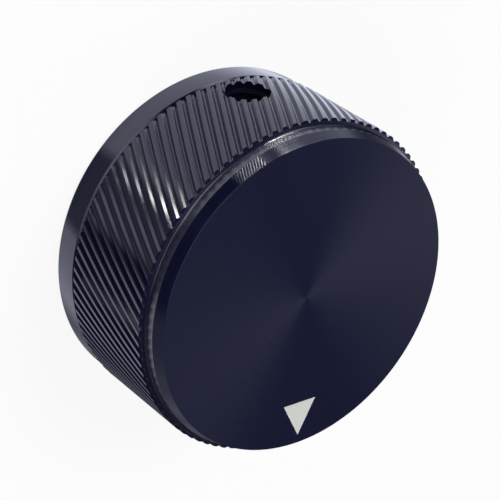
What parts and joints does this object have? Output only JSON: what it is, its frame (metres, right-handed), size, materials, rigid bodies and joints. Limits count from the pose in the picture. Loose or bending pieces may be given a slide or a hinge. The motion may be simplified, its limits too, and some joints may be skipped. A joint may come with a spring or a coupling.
{
  "type": "control knob",
  "caption": "Round black knob with a helical knurl, plain back flange, turned face with a white pointer, and a blind bore clamped on its shaft by a side screw.",
  "frame": {"origin": "centre of the back face, on the axis of the shaft bore", "axes": "+Z along the shaft's axis from the back face to the front face, +Y towards the set screw, pointer at -Y"},
  "size_m": [0.032, 0.032, 0.016],
  "materials": {
    "black_anodised": "black anodised, with turned face and bands and a cut knurl",
    "white_enamel": "white enamel, wiped flush into an engraving",
    "black_steel": "blackened alloy steel"
  },
  "bodies": {
    "root": {"knob_body": "black_anodised", "pointer_infill": "white_enamel", "set_screw": "black_steel"}
  },
  "joints": []
}
